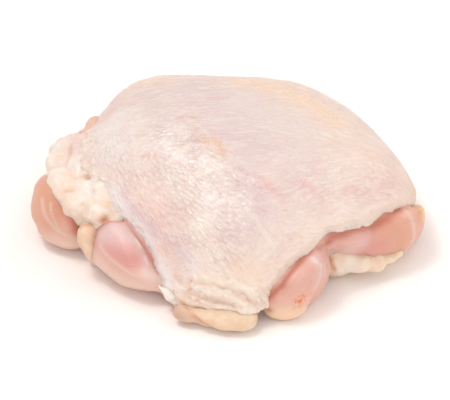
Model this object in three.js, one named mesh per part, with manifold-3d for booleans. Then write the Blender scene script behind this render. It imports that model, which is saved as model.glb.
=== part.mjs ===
// Raw boneless chicken leg, folded and lying skin side up.
// A taut sheet of skin is draped over a bundle of muscles that bulge out from under its hem,
// with pads of yellow fat along the hem and between the muscles.
// Millimetres, +Z up, +X to the right, +Y to the back. The front is the corner where the skin
// runs down to the table. The origin is in the middle of the footprint, on the table.
import * as THREE from 'three';
import { mergeVertices } from 'three/addons/utils/BufferGeometryUtils.js';
import { ImprovedNoise } from 'three/addons/math/ImprovedNoise.js';
import Module from 'manifold-3d';

const wasm = await Module();
wasm.setup();

// ---- Driving dimensions -------------------------------------------------------------------

const CREST = new THREE.Vector3(0, 11, 38.7);  // highest point of the skin
const SKIN_THICK = 2;                          // skin with the fat on its inner side
const HEM_THICK = 1.4;                         // the skin thins towards its cut edge
const GAP = 0.35;                              // air between pieces that touch
const GRID = 23;                               // faces along each side of the skin's grid
const GRID_TURN = 0.14;                        // puts the grid's four corners at the hem's own corners
const CORE_GRID = 10;                          // the same for the inner meat
const CORE_REACH = 0.97;                       // how far the meat follows the skin towards the hem
const CORE_FOOT = 0.72;                        // the inner meat's foot, as a share of the hem's outline
const LOBE_FACE = 5;                           // size of a muscle's faces
const TAUT = 0.05;                             // how far round the hem its bends are evened out
const FAT_DETAIL = 2;                          // subdivision of a lump of fat

// The skin's cut edge, anticlockwise from the right: x, y, z, and the angle that the skin has
// turned through, from level at the crest, by the time that it reaches this point.
const HEM = [
  [62, -5, 13.5, 92], [60.5, 6, 8, 98], [54, 25, 7, 98], [43, 40.5, 7, 98], [28, 52, 7, 98],
  [7, 59, 7, 96], [-16, 60, 8, 96], [-35, 53, 10, 96], [-43, 40, 12.5, 94], [-48.5, 25, 16, 88],
  [-50.5, 10, 19, 80], [-46, -4.5, 20.5, 78], [-39, -16, 21.5, 76], [-32.5, -25, 20.5, 78],
  [-26, -31.5, 16, 78], [-22.5, -38, 10, 80], [-19, -44, 5.5, 80], [-9, -50.5, 5.5, 80],
  [3, -54, 6, 80], [11, -53, 6.5, 80], [13.5, -50.5, 8, 80], [17, -47, 14.5, 80],
  [23.5, -41.5, 18, 80], [31.5, -36, 20, 80], [41.5, -29.5, 20, 80], [51.5, -20.5, 20, 82],
  [59.5, -12.5, 18, 86],
];

// Where the skin stands proud of its even drape over a muscle, or sags between two:
// centre, half-sizes, turn about Z in degrees, and height.
const SWELLS = [
  { at: [-29, 42], half: [14, 12], turn: 0, height: 4 },        // back left corner
  { at: [-12, -9], half: [24, 9], turn: -48, height: 1.5 },     // ridge over the left front muscle
  { at: [-17, -28], half: [12, 6], turn: -50, height: -2 },     // sag behind the left front hem
  { at: [24, -29], half: [13, 6], turn: 40, height: -2 },       // sag behind the right front hem
  { at: [45, -7], half: [13, 11], turn: 30, height: 1.5 },      // right end muscle
  { at: [27, 35], half: [21, 12], turn: -35, height: 3 },       // back right
];

// Muscles: centre, half-sizes, turn about Z in degrees, and how lumpy they are.
const MUSCLES = [
  { at: [-51, -2.5, 11.5], half: [13, 13.5, 12], turn: 0, lumps: 0.5 },       // left end, upper
  { at: [-50.5, -7, 7], half: [12, 10, 7.7], turn: -10, lumps: 0.4 },         // left end, lower
  { at: [-29.5, -27, 11], half: [20, 11.5, 11.5], turn: -43, lumps: 0.5 },    // left front
  { at: [-13.5, -44, 5], half: [9, 7, 5.5], turn: -30, lumps: 0.4 },          // beside the front corner
  { at: [20.5, -39.5, 9.5], half: [14.5, 9, 11], turn: 47, lumps: 0.5 },      // right front
  { at: [48.5, -14, 11], half: [16.5, 12, 12], turn: 33, lumps: 0.5 },        // right end
  { at: [52, 12.5, 9], half: [11, 16, 10], turn: 8, lumps: 0.5 },             // back right
  { at: [30.5, 38, 9], half: [20, 12, 10], turn: -38, lumps: 0.5 },           // back
  { at: [-7, 48, 9], half: [21.5, 12, 10], turn: -4, lumps: 0.5 },            // back
  { at: [-40, 33.5, 13], half: [12.5, 14.5, 13], turn: 20, lumps: 0.5 },      // back left
];

// Pads of fat, each a run of balls along a line: the line, how far every other ball stands to
// each side of it, how many balls, and their half-sizes.
const FATS = {
  fat_left: {
    path: [[-50, 21, 18], [-52.5, 9, 17.5], [-50.5, -3.5, 17], [-44.5, -11.5, 16.5], [-37, -18.5, 17]],
    sway: [0.8, -1.7, -1.5], balls: 9, half: [6.8, 6.8, 6.2], lumps: 1.1,
  },
  fat_seam: {
    path: [[-43, -15.5, 11.5], [-41.5, -20, 6.5]],
    sway: [0, 0, 0], balls: 2, half: [4, 4, 7], lumps: 0.4,
  },
  fat_front: {
    path: [[-7, -50, 4.5], [4, -53, 4.5]],
    sway: [0, 0, 0], balls: 3, half: [7.5, 6, 4.5], lumps: 0.4,
  },
  fat_right: {
    path: [[35, -24.5, 5.5], [41.5, -22.5, 4.5], [50.5, -16, 4]],
    sway: [0, 0, 0], balls: 4, half: [5.2, 5.4, 4.5], lumps: 0.9,
  },
  fat_tab: {
    path: [[61, -9, 13.5], [62.5, -3.5, 7]],
    sway: [0, 0, 0], balls: 2, half: [2.5, 3.8, 5], lumps: 0.3,
  },
};

// ---- Small helpers ------------------------------------------------------------------------

const UP = new THREE.Vector3(0, 0, 1);
const noise = new ImprovedNoise();

// Smooth lumps of about the size given, between -1 and 1, the same on every run.
function lumpsAt(p, size, seed) {
  return noise.noise(p.x / size + seed, p.y / size + 3.7 * seed, p.z / size + 7.1);
}

function solidFrom(geometry) {
  geometry.deleteAttribute('normal');
  geometry.deleteAttribute('uv');
  const merged = mergeVertices(geometry, 1e-4);
  return new wasm.Manifold(new wasm.Mesh({
    numProp: 3,
    vertProperties: merged.attributes.position.array,
    triVerts: new Uint32Array(merged.index.array),
  }));
}

function geometryFrom(solid) {
  const { vertProperties, triVerts } = solid.getMesh();
  const geometry = new THREE.BufferGeometry();
  geometry.setAttribute('position', new THREE.BufferAttribute(vertProperties, 3));
  geometry.setIndex(new THREE.BufferAttribute(triVerts, 1));
  geometry.computeVertexNormals();
  return geometry;
}

function moveVertices(geometry, place) {
  const position = geometry.attributes.position;
  const p = new THREE.Vector3();
  for (let i = 0; i < position.count; i++) {
    p.copy(place(p.fromBufferAttribute(position, i)));
    position.setXYZ(i, p.x, p.y, p.z);
  }
  return geometry;
}

const joined = (solids) => solids.reduce((all, one) => all.add(one));

// The main body of a solid, without the scraps that a cut leaves beside it.
const mainBody = (solid) => solid.decompose().reduce((a, b) => (a.volume() > b.volume() ? a : b));

// ---- Skin ---------------------------------------------------------------------------------

const hemLine = new THREE.CatmullRomCurve3(HEM.map(([x, y, z]) => new THREE.Vector3(x, y, z)), true);
const hemTurn = new THREE.CatmullRomCurve3(HEM.map((h) => new THREE.Vector3(h[3], 0, 0)), true);

// How far the swells lift or lower the skin above a point of the plan.
function swellAt(x, y) {
  return SWELLS.reduce((sum, { at, half, turn, height }) => {
    const away = new THREE.Vector2(x - at[0], y - at[1])
      .rotateAround(new THREE.Vector2(), -THREE.MathUtils.degToRad(turn));
    return sum + height * Math.exp(-((away.x / half[0]) ** 2) - (away.y / half[1]) ** 2);
  }, 0);
}

// The hem at a share of the way round, and its turn. Further in, where reach is less than 1, the
// skin is taut, so the hem's bends are evened out over its neighbourhood.
function hemAt(along, reach) {
  const edge = new THREE.Vector3();
  let turn = 0;
  for (const step of [-1, -0.5, 0, 0.5, 1]) {
    const place = along + step * TAUT * (1 - reach ** 3);
    const t = hemLine.getUtoTmapping(place - Math.floor(place));
    edge.addScaledVector(hemLine.getPoint(t), 1 / 5);
    turn += hemTurn.getPoint(t).x / 5;
  }
  return { edge, turn: THREE.MathUtils.degToRad(turn) };
}

// A point on the skin's outer face: along is the share of the way round the hem, and reach goes
// from 0 at the crest to 1 at the hem.
function draped(along, reach) {
  const { edge, turn } = hemAt(along, reach);
  const out = Math.sin(reach * turn) / Math.sin(turn);
  const rise = (Math.cos(reach * turn) - Math.cos(turn)) / (1 - Math.cos(turn));
  const x = THREE.MathUtils.lerp(CREST.x, edge.x, out);
  const y = THREE.MathUtils.lerp(CREST.y, edge.y, out);
  const z = THREE.MathUtils.lerp(edge.z, CREST.z, rise);
  return new THREE.Vector3(x, y, z + swellAt(x, y) * (1 - reach ** 6));
}

function drapedNormal(along, reach) {
  if (reach < 0.02) return UP.clone();
  const here = draped(along, reach);
  const round = draped(along + 0.002, reach).sub(here);
  const outward = draped(along, reach + 0.002).sub(here);
  return outward.cross(round).normalize();
}

// Square to disc: a point of the square gives its share of the way round and its reach.
function polarOfSquare(x, y) {
  const reach = Math.max(Math.abs(x), Math.abs(y));
  if (reach === 0) return { along: 0, reach: 0 };
  const eighth = 1 / 8;
  const along = Math.abs(x) >= Math.abs(y)
    ? (x > 0 ? 0 : 0.5) + (eighth * y) / x
    : (y > 0 ? 0.25 : 0.75) - (eighth * x) / y;
  return { along: along + GRID_TURN, reach };
}

// Splits each face of the grid along the line that runs to the crest, so that the skin has no
// ripples where the grid's quarters meet.
function splitTowardsCrest(box) {
  const { position } = box.attributes;
  const index = box.index.array;
  for (let i = 0; i < index.length; i += 6) {
    const [a, b, d, , c] = index.slice(i, i + 6);
    const x = position.getX(a) + position.getX(c);
    const y = position.getY(a) + position.getY(c);
    const flat = position.getZ(a) === position.getZ(c) && position.getZ(a) === position.getZ(b);
    const fallingSplit = (position.getX(b) - position.getX(d)) * (position.getY(b) - position.getY(d)) < 0;
    if (flat && (x * y > 0) === fallingSplit) index.set([a, b, c, a, c, d], i);
  }
  return box;
}

// A closed blanket over the muscles between two depths below the skin's outer face, made from a
// box whose top and bottom become the two faces and whose sides become the hem. The whole edge
// goes extend further down, and its middle lip further still, to round it.
function blanket(outerDepth, innerDepth, extend, lip) {
  const box = splitTowardsCrest(new THREE.BoxGeometry(2, 2, 2, GRID, GRID, 2));
  return moveVertices(box, (p) => {
    const { along, reach } = polarOfSquare(p.x, p.y);
    const surface = draped(along, reach);
    const depth = THREE.MathUtils.lerp(innerDepth(reach), outerDepth(reach), (p.z + 1) / 2);
    const placed = surface.clone().addScaledVector(drapedNormal(along, reach), -depth);
    if (reach < 1 - 1e-6) return placed;
    const down = surface.sub(draped(along, reach - 0.002)).normalize();
    return placed.addScaledVector(down, extend + lip * (1 - Math.abs(p.z)));
  });
}

const skinThick = (reach) => THREE.MathUtils.lerp(SKIN_THICK, HEM_THICK, reach ** 6);
const lip = HEM_THICK / 2;
const skin = solidFrom(blanket(() => 0, skinThick, 0, lip));
const underSkin = solidFrom(blanket(() => -12, (reach) => skinThick(reach) + GAP, lip + GAP, 0));

// ---- Meat ---------------------------------------------------------------------------------

function muscle({ at, half, turn, lumps }, index) {
  const geometry = new THREE.IcosahedronGeometry(1, Math.round(Math.max(...half) / LOBE_FACE));
  geometry.scale(...half);
  geometry.rotateZ(THREE.MathUtils.degToRad(turn));
  moveVertices(geometry, (p) => {
    const swell = 1 + (lumps * lumpsAt(p, 8, index + 0.5)) / p.length();
    return p.multiplyScalar(swell);
  });
  geometry.translate(...at);
  return solidFrom(geometry);
}

// The inner meat fills the skin and stands on a smaller foot than the hem's outline.
function core() {
  const box = new THREE.BoxGeometry(2, 2, 2, CORE_GRID, CORE_GRID, 1);
  return solidFrom(moveVertices(box, (p) => {
    const { along, reach } = polarOfSquare(p.x, p.y);
    const top = draped(along, reach * CORE_REACH).addScaledVector(drapedNormal(along, reach * CORE_REACH), -1);
    const hem = draped(along, 1);
    const foot = new THREE.Vector3(CREST.x, CREST.y, 0)
      .lerp(new THREE.Vector3(hem.x, hem.y, 0), reach * CORE_FOOT);
    return foot.lerp(top, (p.z + 1) / 2);
  }));
}

// ---- Fat ----------------------------------------------------------------------------------

function fat({ path, sway, balls, half, lumps }, grow) {
  const aside = new THREE.Vector3(...sway);
  const line = new THREE.CatmullRomCurve3(path.map((p) => new THREE.Vector3(...p)));
  const made = [];
  for (let i = 0; i < balls; i++) {
    const at = line.getPoint(i / (balls - 1)).addScaledVector(aside, i % 2 ? 1 : -1);
    const size = 1 + 0.22 * Math.sin(2.4 * i + 1);
    const geometry = new THREE.IcosahedronGeometry(1, FAT_DETAIL);
    geometry.scale(...half.map((h) => h * size));
    moveVertices(geometry, (p) => {
      const swell = 1 + (grow + lumps * lumpsAt(p, 3.6, i + 0.3)) / p.length();
      return p.multiplyScalar(swell);
    });
    geometry.translate(at.x, at.y, at.z);
    made.push(solidFrom(geometry));
  }
  return joined(made);
}

// ---- Assembly -----------------------------------------------------------------------------

const table = solidFrom(new THREE.BoxGeometry(400, 400, 60).translate(0, 0, -30));
const fatNames = Object.keys(FATS);
const pads = fatNames.map((name) => {
  const pad = fat(FATS[name], 0).subtract(underSkin).subtract(table);
  return mainBody(name === 'fat_seam' ? pad.subtract(fat(FATS.fat_left, GAP)) : pad);
});
const meat = fatNames.reduce(
  (solid, name) => solid.subtract(fat(FATS[name], GAP)),
  joined([core(), ...MUSCLES.map(muscle)]).subtract(underSkin).subtract(table),
);

const FINISHES = {
  skin: { color: 0xf0d6ca, roughness: 0.4 },
  meat: { color: 0xe2a193, roughness: 0.35 },
  fat: { color: 0xf5d9b2, roughness: 0.45 },
};

function piece(name, solid, finish) {
  const material = new THREE.MeshStandardMaterial({ ...finish, metalness: 0 });
  const mesh = new THREE.Mesh(geometryFrom(solid), material);
  mesh.name = name;
  return mesh;
}

const leg = new THREE.Group();
leg.add(piece('skin', skin, FINISHES.skin));
leg.add(piece('meat', meat, FINISHES.meat));
fatNames.forEach((name, i) => leg.add(piece(name, pads[i], FINISHES.fat)));

// The middle of the footprint comes to the origin, and the table stays at height 0.
const middle = new THREE.Box3().setFromObject(leg).getCenter(new THREE.Vector3());
leg.position.set(-middle.x, -middle.y, 0);

const chickenLeg = new THREE.Group();
chickenLeg.add(leg);

export default chickenLeg;
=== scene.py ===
"""Raw boneless chicken leg, folded and lying skin side up.

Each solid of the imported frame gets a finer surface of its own: the skin its pimples and wrinkles,
the meat its fibres and membranes, and each pad of fat its lobules. The axes are the frame's own:
+X right, +Y back and +Z up in the photograph, with the origin on the table under the middle.
Sizes and places are in millimetres, and MM turns them into Blender's metres.
"""
import math

import bmesh
import bpy
import numpy as np
from mathutils import Matrix, Vector, noise


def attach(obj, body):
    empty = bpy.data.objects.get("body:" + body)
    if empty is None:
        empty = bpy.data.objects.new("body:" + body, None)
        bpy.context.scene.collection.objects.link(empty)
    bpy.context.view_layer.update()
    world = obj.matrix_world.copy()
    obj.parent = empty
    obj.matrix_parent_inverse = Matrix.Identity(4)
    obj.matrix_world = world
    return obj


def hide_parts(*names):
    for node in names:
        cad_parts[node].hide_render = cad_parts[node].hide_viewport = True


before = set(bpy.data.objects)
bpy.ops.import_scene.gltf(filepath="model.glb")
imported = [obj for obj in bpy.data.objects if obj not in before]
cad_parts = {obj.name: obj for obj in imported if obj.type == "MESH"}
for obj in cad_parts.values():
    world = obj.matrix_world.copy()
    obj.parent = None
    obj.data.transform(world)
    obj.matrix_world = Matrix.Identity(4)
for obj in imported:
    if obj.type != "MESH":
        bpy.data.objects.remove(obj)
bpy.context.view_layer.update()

MM = 0.001
BODY = "root"
FLOAT, VECTOR = "NodeSocketFloat", "NodeSocketVector"

# ---- Sizes, in millimetres ------------------------------------------------------------------

CREST = np.array((-0.5, 10, 38.7))         # the highest point of the skin
WELD = 0.02                                # points of a solid this close become one
MEAT_VOXEL = 0.63                          # width of the meat's faces
FAT_VOXEL = 0.45                           # width of the fat's faces
SKIN_LEVELS = 3                            # subdivisions of the skin's own faces
RIM_ANGLE = 32                             # degrees from which the skin's faces meet in a rim
BALL_LEVELS = 3                            # subdivisions of the ball that a lobe starts from

# ---- Relief, in millimetres -----------------------------------------------------------------

# Layers of soft unevenness: (width, height, seed)
SKIN_SWELL = [(13, 0.45, 3.1), (5.5, 0.2, 8.2)]
MEAT_SWELL = [(8, 0.5, 2.2), (3, 0.12, 7.2)]
FAT_SWELL = [(6, 0.3, 9.1)]
FAT_GRAIN = [(2.6, 0.5, 4.4)]
HEM_WAVE = [(3.5, 0.8, 6.6)]
HEM_RAG = [(1.3, 1.0, 2.6)]
# Rounded cells: (width, seed)
FAT_LOBULE = (6.0, 1.7)
SKIN_LOBULE = (4.2, 1.7)
SKIN_COBBLE = (2.4, 5.2)
DOME_SLOPE = 0.7                           # distance from a groove, in cells, where a cell is full
# Crinkles on the front flap: (angle in degrees, length, width, height, seed)
CRINKLES = [(-32, 6.5, 2.5, 1.1, 4.1), (-50, 3.2, 1.6, 0.5, 9.3)]
PIMPLE = (0.9, 0.5)                        # radius and height
RIDGE, FURROW = 0.9, 0.5                   # height and depth of the strokes on the skin
LEFT_MARGIN = -30                          # X up to which the skin swells over the fat
MARGIN_SWELL = 1.0                         # how far it swells there, besides its lobules
COBBLES, MORE_COBBLES = 0.12, 0.16         # height everywhere, and more where it is cobbled
RAGGED, MORE_RAGGED = 0.3, 0.6             # the rim everywhere, and more along the left hem
RIM_PRESSED, RIM_ROUNDED = 0.5, 0.4        # the rim drawn down and in, and its outer side more
FILM = 0.2                                 # thickness of the membranes on the meat
MEAT_FULLNESS = 0.3                        # how far the meat swells over its solid
FAT_DOME, CREASE = 0.7, 0.7                # height of the lobules and depth of the creases
LEAST_SWELL = 0.3                          # share of the unevenness that smooth fat has

# How far back or right a face looks, and its X, between which the skin becomes its far side: painted
# shade, darker and tanner where the skin turns away
BACK_FACING, RIGHT_FACING = (0.3, 0.75), (0.7, 0.95)
BACK_FADE = (-45, -5)
OUTER_FACE = (0, 0.2)                      # how far a face has to look outwards, in millimetres
TOP_SHARE, LEAST_SHARE = 0.7, 0.05         # of the net of wrinkles that fills what others leave

CENTRE = CREST * (1, 1, 0)                 # under the crest, on the table
POLE = CREST * (1, 1, -0.5)                # under the table: the rim is drawn towards it
TINY = 1e-9

# ---- Small lobes that swell out of a solid: (centre, half sizes), in millimetres -------------

LOBES = {
    "meat": [((-47.3, 20.5, 20.5), (3.2, 5, 3.2)), ((-44.6, 26.5, 19), (3.6, 6.5, 5.8)),
             ((-42.5, 28, 12.5), (4.5, 6.5, 8)),
             ((-51, -14.8, 12), (4.5, 4.5, 5.5)), ((-42, -28.6, 8.5), (2, 2.4, 3.4)),
             ((17, -49.2, 3.2), (6, 3.4, 3.2)), ((22, -49.4, 4.6), (2.4, 2.6, 2.4)),
             ((16, -47.8, 10), (3, 3, 3)), ((20, -45.6, 12.8), (4, 3.2, 2.8)),
             ((24.4, -42.4, 14.8), (4, 3.2, 2.4)), ((36.5, -26.5, 10.2), (8, 3.6, 3.2)),
             ((37, -28, 13.6), (7, 3, 3)), ((35, -30, 17), (7, 3, 3)),
             ((41.8, -27.6, 16.6), (3.4, 2.6, 2.6))],
    "fat_left": [((-54.5, 11, 16.8), (5.4, 8, 4.4)), ((-49, 5, 19), (5, 7, 3.8)),
                 ((-54.6, -4.5, 20.6), (4.4, 5.5, 3)), ((-51, -10, 20.2), (5, 5, 3.2)),
                 ((-47.5, -15.5, 19), (4.6, 4, 3.2)), ((-42, -18.5, 19.8), (3.8, 4.2, 3)),
                 ((-45.5, -9, 20), (5.2, 5, 3.4)), ((-40.6, -17, 21), (2.8, 4, 2.6)),
                 ((-54, 20, 15.2), (5.5, 7, 4.2)), ((-51.5, 18, 17.6), (5.4, 7.4, 4.2)),
                 ((-48.6, 13, 20), (4.4, 7, 3.6)), ((-47.2, 16, 22), (2.8, 4.4, 2.6)),
                 ((-49.9, 18.5, 19.4), (3.2, 5, 3.2)),
                 ((-47.2, 8, 21.9), (2.8, 4.4, 2.8)), ((-47.4, 1.5, 21), (2.8, 4, 2.8)),
                 ((-45.2, -3.5, 21.4), (2.8, 3.6, 2.8)), ((-43, -8, 22), (2.8, 3.4, 2.7)),
                 ((-40.6, -12, 22.4), (2.8, 3.4, 2.5)), ((-39, -15.2, 22.2), (2.2, 3, 2))],
    "fat_seam": [((-44.8, -25.2, 13.6), (3, 3.6, 4.9)), ((-44, -28, 10.4), (2, 2.2, 3))],
    "fat_front": [((-5, -53.8, 4), (4, 4, 2.8)), ((-0.5, -55, 3.7), (6.4, 4.6, 3.4)),
                  ((-9, -54.4, 3.6), (4, 3.6, 2.9)),
                  ((4.5, -55.6, 3.5), (5.8, 4.1, 3.2)), ((-14, -55.4, 3.2), (4.4, 3.6, 3.4)),
                  ((-14, -47.5, 4.4), (4, 3, 3.8)), ((-18.4, -45, 5.8), (2.4, 2.2, 3)),
                  ((-18.7, -46.9, 5.6), (1.5, 1.3, 1.7)), ((-20, -45.6, 7), (1.05, 1.2, 1.5)),
                  ((-20.9, -45, 8), (1.2, 1, 1)), ((-22, -44.2, 8.8), (0.9, 1, 1))],
    "fat_right": [((36, -29, 7), (5, 3, 3.6)), ((35.4, -28.6, 8.6), (3.6, 2.6, 3)),
                  ((39, -29.4, 8), (2, 1.8, 1.8)), ((43.6, -29.4, 7.6), (1.6, 1.5, 1.6)),
                  ((47.6, -27.8, 7.4), (1.4, 1.4, 1.4)), ((41, -29.6, 6.3), (4.5, 3, 2.9)),
                  ((46, -28, 5.6), (4.5, 3, 2.6)), ((50, -26, 6), (4, 2.4, 1.7)),
                  ((53.6, -24.6, 6.6), (2.6, 1.4, 1))],
    "fat_tab": [((59.6, -15, 10.5), (2.2, 3, 3.2))],
}
PUSHES = {  # places where a surface is moved a little: (radius, move, point)
    "skin": [(4.5, (0.0, 1.8, 2.4), (31, -36.5, 19.5)), (6.0, (0.0, 1.0, 1.3), (38, -32.5, 19.5)),
             (7.0, (-0.6, -1.2, -1.2), (-12, -49, 8))],
    "meat": [(5.0, (3.0, 3.0, 0.0), (-18.5, -46, 3)), (4.5, (1.6, 0.6, -0.2), (-44, -27.5, 16))],
    "fat_left": [(3.0, (-2.0, 0.6, -0.8), (-35, -25, 21))],
    "fat_front": [(6.0, (0.8, 4.6, 0.8), (-15, -56, 3)), (5.0, (-0.8, 0.4, -0.2), (9, -57, 3))],
    "fat_tab": [(4.0, (-1.2, 0.0, -0.8), (60.5, -15, 16))],
}
MELT = {  # reach over which a piece's lobes melt together, and rounds of smoothing
    "meat": (1.2, 12), "fat_left": (1.8, 30), "fat_seam": (0.8, 16), "fat_front": (0.5, 26),
    "fat_right": (1.2, 14), "fat_tab": (0.6, 14),
}
ROUNDS_BEFORE, ROUNDS_AFTER = 4, 5         # rounds of smoothing before and after the melting
SMOOTHING = 0.5                            # how far each round moves a point to its neighbours

# ---- Strokes: (radius, strength, points along the stroke) -----------------------------------
# The points were picked in the photograph, and carried from there onto the solids.

LEFT_HEM = [(-37, -17, 24), (-34, -24, 22), (-30, -28, 20), (-26, -33, 17), (-24, -35, 16),
            (-21, -40, 13), (-19, -44, 10)]
ORANGE_PATCH = [(-7, -6, 38), (-4, -6, 38), (-2, -10, 37), (-2, -12, 37)]
LINE_BELOW_CREST = [(-15.5, -7, 37.1), (-9.1, -5.8, 37.8)]
LINE_AT_LEFT = [(-27.6, -7.9, 33), (-23.4, -9.1, 34.2)]

# Each furrow is carved and painted darker and peachier, as painted shade along it
SKIN_FURROWS = [
    # the crease beside the crest, and fine lines round it
    (0.7, 0.5, [(-14.4, 5.6, 38), (-11.2, 2.2, 38.2), (-9.1, -1.4, 38.2), (-7.1, -5.3, 37.9)]),
    (0.6, 0.3, LINE_BELOW_CREST),
    (0.6, 0.3, LINE_AT_LEFT),
    (0.6, 0.25, [(-16.7, 7.8, 37.7), (-9.2, 7.3, 38.4)]),
    # between the folds of the front flap
    (0.8, 0.5, [(-4.2, -52.1, 9.5), (0.5, -54.1, 7.6)]),
    (0.7, 0.5, [(-8.8, -51, 7.9), (-4.2, -53, 7.4)]),
    (0.8, 0.5, [(-1.1, -51, 12.9), (5.1, -52.4, 11.7), (8.5, -53.4, 9.3)]),
    (0.8, 0.5, [(-13.2, -48.2, 8.8), (-8.8, -50.6, 8.7)]),
    # slanting lines above the right hem
    (0.8, 0.3, [(27.3, -33.1, 25.2), (31.9, -26.9, 27.3), (36.7, -23.2, 28.1)]),
    (0.8, 0.3, [(31.8, -30.1, 25.7), (38.3, -24, 27.2), (45.5, -19.2, 26.9)]),
    (0.8, 0.3, [(38.8, -27.9, 24.5), (44.8, -22.7, 25), (51.4, -17.5, 24.1)]),
    (0.8, 0.3, [(22.3, -36.4, 24.5), (26.2, -30, 26.8), (29.4, -25.6, 28.3)]),
    # short lines on the right edge of the flap
    (0.7, 0.3, [(12.2, -46.5, 18.4), (14.7, -42.8, 21.4), (18.5, -39.3, 23.5)]),
    (0.7, 0.3, [(14.7, -45.5, 18.8), (17.2, -42.1, 21.7), (21, -38.1, 23.8)]),
    (0.7, 0.3, [(17.2, -44, 20), (19.7, -40.8, 22.3), (23.2, -36.9, 24.1)]),
    # the hollow beside the left hem
    (3.2, 0.9, [(-20.5, -36.9, 17.1), (-17.6, -40.8, 15.3), (-14.5, -44.5, 13.4)]),
    # the fan of folds on the front flap
    (0.8, 0.8, [(-9.5, -47.4, 13.6), (-2, -50.6, 13), (5.1, -52.6, 11.4)]),
    (0.8, 0.8, [(-12.6, -47.8, 10.5), (-7.9, -50.6, 9.9), (-2, -53.1, 8.7), (3.6, -54.5, 7.8)]),
    (0.8, 0.8, [(-0.2, -51.4, 12.5), (4.5, -53.3, 10.4), (8.2, -53.8, 8.5)]),
    (0.9, 0.9, [(-16.7, -46.3, 7.8), (-12, -48.8, 9.3), (-8.8, -49.5, 11)]),
]
# Each ridge is raised and painted lighter, as a painted highlight along it
SKIN_RIDGES = [
    # the fan of folds on the front flap
    (0.8, 0.6, [(-2.6, -51.9, 10.9), (1.2, -53.5, 9.2), (4.3, -54.7, 7.2)]),
    (0.7, 0.5, [(6.6, -50.3, 14.5), (11.3, -50.3, 13.2)]),
    (0.8, 0.5, [(-7.3, -49.9, 11.3), (-1.1, -51.7, 11.9), (2.9, -53.4, 10.1)]),
    (0.8, 0.5, [(-15.7, -46.6, 8.8), (-12, -47.8, 10.9), (-7.3, -50.4, 10.6)]),
    (0.8, 0.5, [(-13.5, -49.4, 5.1), (-7.3, -51.8, 7.7), (-2, -53.7, 7.2)]),
    (0.8, 0.8, [(-8.2, -47, 14.9), (1.1, -51, 13.3), (8.2, -51.5, 12.5)]),
    (0.9, 0.9, [(-10.7, -47.4, 12.5), (-5.1, -50.9, 11.3), (1.1, -53.2, 10), (6.6, -54.1, 8.3)]),
    (1.0, 1.0, [(-15.1, -46.9, 9), (-10.4, -50.3, 7.7), (-4.2, -53, 7.4), (2, -54.6, 7.1),
                (7.6, -54.7, 6.8)]),
    (0.8, 0.8, [(-1.1, -52.2, 11.1), (2.6, -53.5, 9.8), (6.6, -54.5, 7.5)]),
    (0.9, 0.9, [(-17.6, -46.7, 5.3), (-13.5, -49.4, 5.5)]),
    (0.8, 0.8, [(1.1, -50.1, 14.6), (5.7, -52.1, 12.2), (9.1, -52.1, 11.4)]),
    (0.9, 1.0, [(-19.2, -43.9, 8.7), (-16.7, -45.7, 9.3), (-12.9, -47.3, 10.9)]),
    (0.8, 0.8, [(-11.3, -46, 14.1), (-7.3, -48.2, 13.9)]),
    (0.8, 0.8, [(3.6, -50.8, 14), (7.3, -52.7, 11.1), (9.7, -53.1, 9.1)]),
    # beside the crease, and the long swell that runs down to the flap
    (1.0, 0.3, [(-14, 6.6, 38), (-10.2, 2.6, 38.2), (-8, -1.2, 38.2)]),
    (4.0, 0.5, [(-10.4, -34, 24.6), (-6.7, -41.8, 20.7), (-4.2, -48, 15.7)]),
    # pale lines on the top
    (0.8, 0.35, [(-25.7, 15.6, 35.3), (-17.4, 13.9, 37.2)]),
    (0.8, 0.35, [(-9.4, 26.8, 36.8), (2.2, 28.5, 36.5)]),
    (0.8, 0.35, [(-32.2, 11.3, 33.5), (-23.8, 8.1, 36.3)]),
    (0.8, 0.3, [(-22.6, 23.9, 35.5), (-16, 23.2, 36.7)]),
    (0.8, 0.3, [(-4.3, 4.7, 38.5), (3.7, 5.9, 38.5)]),
    # short pale lines at the right, and two long ones down the front
    (0.9, 0.35, [(28, 3, 36), (33, 2, 35)]), (0.9, 0.35, [(43, 11, 30), (49, 11, 27)]),
    (0.9, 0.35, [(44, 1, 31), (50, 2, 28)]), (0.9, 0.35, [(38, 17, 32), (44, 18, 28)]),
    (0.9, 0.35, [(5.2, -31.1, 30.3), (10.4, -38, 25.7), (14.4, -42.8, 21.5)]),
    (0.9, 0.35, [(-4.9, -15, 36.3), (3.6, -20.9, 34.6), (10.5, -23, 33.4)]),
]
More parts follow.
